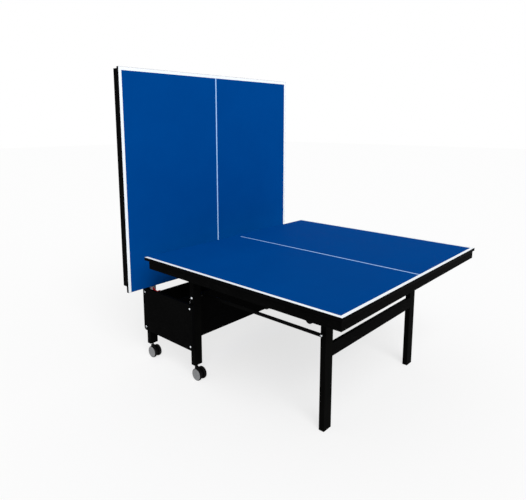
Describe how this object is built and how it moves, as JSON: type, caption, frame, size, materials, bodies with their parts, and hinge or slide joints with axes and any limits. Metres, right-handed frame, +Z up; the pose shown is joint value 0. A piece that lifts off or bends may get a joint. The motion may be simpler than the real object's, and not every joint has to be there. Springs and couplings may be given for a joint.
{
  "type": "folding table tennis table",
  "caption": "Folding table tennis table in play-alone position: one blue half level on its legs, the other folded upright over a castor trolley.",
  "frame": {"origin": "middle of the bounding box on the floor, as stored with the -X half folded up; the net line is 556 mm towards -X from it", "axes": "+Z up; +X along the table, from the folded half towards the player's end of the level half; +Y across the table, away from the pictured side"},
  "size_m": [1.6279, 1.525, 1.863],
  "materials": {
    "blue_top": "blue lacquered board with white painted lines, low sheen",
    "black_rail": "black laminated chipboard, satin",
    "black_leg": "black painted timber, satin",
    "black_panel": "black laminated board, satin",
    "zinc": "bright zinc-plated steel",
    "black_steel": "black powder coat",
    "bumper_rubber": "matt black rubber",
    "castor_black": "moulded black nylon",
    "wheel_black": "moulded wheel, black tread and grey disc",
    "grey_steel": "grey painted steel",
    "red_plastic": "red moulded plastic"
  },
  "bodies": {
    "trolley": {"right_near_post": "black_leg", "right_far_post": "black_leg", "left_near_post": "black_leg", "left_far_post": "black_leg", "near_end_panel": "black_panel", "far_end_panel": "black_panel", "right_cross_panel": "black_panel", "left_cross_panel": "black_panel", "corner_cleats": "black_panel", "panel_screws": "zinc", "link_bolts": "zinc", "latch_brackets": "grey_steel"},
    "right_half": {"right_top_board": "blue_top", "right_near_apron": "black_rail", "right_far_apron": "black_rail", "right_end_apron": "black_rail", "right_near_rail": "black_rail", "right_far_rail": "black_rail", "right_net_rail": "black_rail", "right_bumpers": "bumper_rubber", "right_pivot_bolts": "zinc"},
    "right_legs": {"right_near_leg": "black_leg", "right_far_leg": "black_leg", "right_leg_stretcher": "black_leg", "right_leg_bolts": "zinc"},
    "right_links": {"right_near_link": "black_steel", "right_far_link": "black_steel"},
    "right_latch": {"right_latch_lever": "red_plastic"},
    "left_half": {"left_top_board": "blue_top", "left_near_apron": "black_rail", "left_far_apron": "black_rail", "left_end_apron": "black_rail", "left_near_rail": "black_rail", "left_far_rail": "black_rail", "left_net_rail": "black_rail", "left_bumpers": "bumper_rubber", "left_pivot_bolts": "zinc"},
    "left_legs": {"left_near_leg": "black_leg", "left_far_leg": "black_leg", "left_leg_stretcher": "black_leg", "left_leg_bolts": "zinc"},
    "left_links": {"left_near_link": "black_steel", "left_far_link": "black_steel"},
    "left_latch": {"left_latch_lever": "red_plastic"},
    "right_near_swivel": {"right_near_fork": "castor_black", "right_near_axle": "zinc"},
    "right_near_outer_roller": {"right_near_outer_wheel": "wheel_black"},
    "right_near_inner_roller": {"right_near_inner_wheel": "wheel_black"},
    "right_far_swivel": {"right_far_fork": "castor_black", "right_far_axle": "zinc"},
    "right_far_outer_roller": {"right_far_outer_wheel": "wheel_black"},
    "right_far_inner_roller": {"right_far_inner_wheel": "wheel_black"},
    "left_near_swivel": {"left_near_fork": "castor_black", "left_near_axle": "zinc"},
    "left_near_outer_roller": {"left_near_outer_wheel": "wheel_black"},
    "left_near_inner_roller": {"left_near_inner_wheel": "wheel_black"},
    "left_far_swivel": {"left_far_fork": "castor_black", "left_far_axle": "zinc"},
    "left_far_outer_roller": {"left_far_outer_wheel": "wheel_black"},
    "left_far_inner_roller": {"left_far_inner_wheel": "wheel_black"}
  },
  "joints": [
    {"name": "right_fold", "type": "hinge", "parent": "trolley", "child": "right_half", "pos_m": [-0.331, 0, 0.718], "axis": [0, -1, 0], "range_deg": [0, 90]},
    {"name": "left_fold", "type": "hinge", "parent": "trolley", "child": "left_half", "pos_m": [-0.781, 0, 0.718], "axis": [0, -1, 0], "range_deg": [0, 90]},
    {"name": "right_leg_hinge", "type": "hinge", "parent": "right_half", "child": "right_legs", "pos_m": [0.539, 0, 0.718], "axis": [0, -1, 0], "range_deg": [-90, 0]},
    {"name": "left_leg_hinge", "type": "hinge", "parent": "left_half", "child": "left_legs", "pos_m": [-0.781, 0, 1.588], "axis": [0, -1, 0], "range_deg": [-90, 0]},
    {"name": "right_link_hinge", "type": "hinge", "parent": "trolley", "child": "right_links", "pos_m": [-0.331, 0, 0.51841], "axis": [0, -1, 0], "range_deg": [0, 90]},
    {"name": "left_link_hinge", "type": "hinge", "parent": "trolley", "child": "left_links", "pos_m": [-0.781, 0, 0.51841], "axis": [0, -1, 0], "range_deg": [0, 90]},
    {"name": "right_latch_turn", "type": "hinge", "parent": "trolley", "child": "right_latch", "pos_m": [-0.36, -0.5757, 0.47708], "axis": [0, 1, 0], "range_deg": [0, 110]},
    {"name": "left_latch_turn", "type": "hinge", "parent": "trolley", "child": "left_latch", "pos_m": [-0.752, -0.5757, 0.47708], "axis": [0, -1, 0], "range_deg": [-57, 53]},
    {"name": "right_near_castor_turn", "type": "hinge", "parent": "trolley", "child": "right_near_swivel", "pos_m": [-0.331, -0.569, 0.093], "axis": [0, 0, 1], "continuous": true},
    {"name": "right_near_outer_roll", "type": "hinge", "parent": "right_near_swivel", "child": "right_near_outer_roller", "pos_m": [-0.309, -0.5873, 0.0375], "axis": [0, 1, 0], "continuous": true},
    {"name": "right_near_inner_roll", "type": "hinge", "parent": "right_near_swivel", "child": "right_near_inner_roller", "pos_m": [-0.309, -0.5507, 0.0375], "axis": [0, 1, 0], "continuous": true},
    {"name": "right_far_castor_turn", "type": "hinge", "parent": "trolley", "child": "right_far_swivel", "pos_m": [-0.331, 0.569, 0.093], "axis": [0, 0, 1], "continuous": true},
    {"name": "right_far_outer_roll", "type": "hinge", "parent": "right_far_swivel", "child": "right_far_outer_roller", "pos_m": [-0.309, 0.5873, 0.0375], "axis": [0, 1, 0], "continuous": true},
    {"name": "right_far_inner_roll", "type": "hinge", "parent": "right_far_swivel", "child": "right_far_inner_roller", "pos_m": [-0.309, 0.5507, 0.0375], "axis": [0, 1, 0], "continuous": true},
    {"name": "left_near_castor_turn", "type": "hinge", "parent": "trolley", "child": "left_near_swivel", "pos_m": [-0.781, -0.569, 0.093], "axis": [0, 0, 1], "continuous": true},
    {"name": "left_near_outer_roll", "type": "hinge", "parent": "left_near_swivel", "child": "left_near_outer_roller", "pos_m": [-0.759, -0.5873, 0.0375], "axis": [0, 1, 0], "continuous": true},
    {"name": "left_near_inner_roll", "type": "hinge", "parent": "left_near_swivel", "child": "left_near_inner_roller", "pos_m": [-0.759, -0.5507, 0.0375], "axis": [0, 1, 0], "continuous": true},
    {"name": "left_far_castor_turn", "type": "hinge", "parent": "trolley", "child": "left_far_swivel", "pos_m": [-0.781, 0.569, 0.093], "axis": [0, 0, 1], "continuous": true},
    {"name": "left_far_outer_roll", "type": "hinge", "parent": "left_far_swivel", "child": "left_far_outer_roller", "pos_m": [-0.759, 0.5873, 0.0375], "axis": [0, 1, 0], "continuous": true},
    {"name": "left_far_inner_roll", "type": "hinge", "parent": "left_far_swivel", "child": "left_far_inner_roller", "pos_m": [-0.759, 0.5507, 0.0375], "axis": [0, 1, 0], "continuous": true}
  ],
  "couplings": [
    {"joint": "right_leg_hinge", "follows": "right_fold", "ratio": -1},
    {"joint": "right_link_hinge", "follows": "right_fold", "ratio": 1},
    {"joint": "left_leg_hinge", "follows": "left_fold", "ratio": -1},
    {"joint": "left_link_hinge", "follows": "left_fold", "ratio": 1}
  ]
}
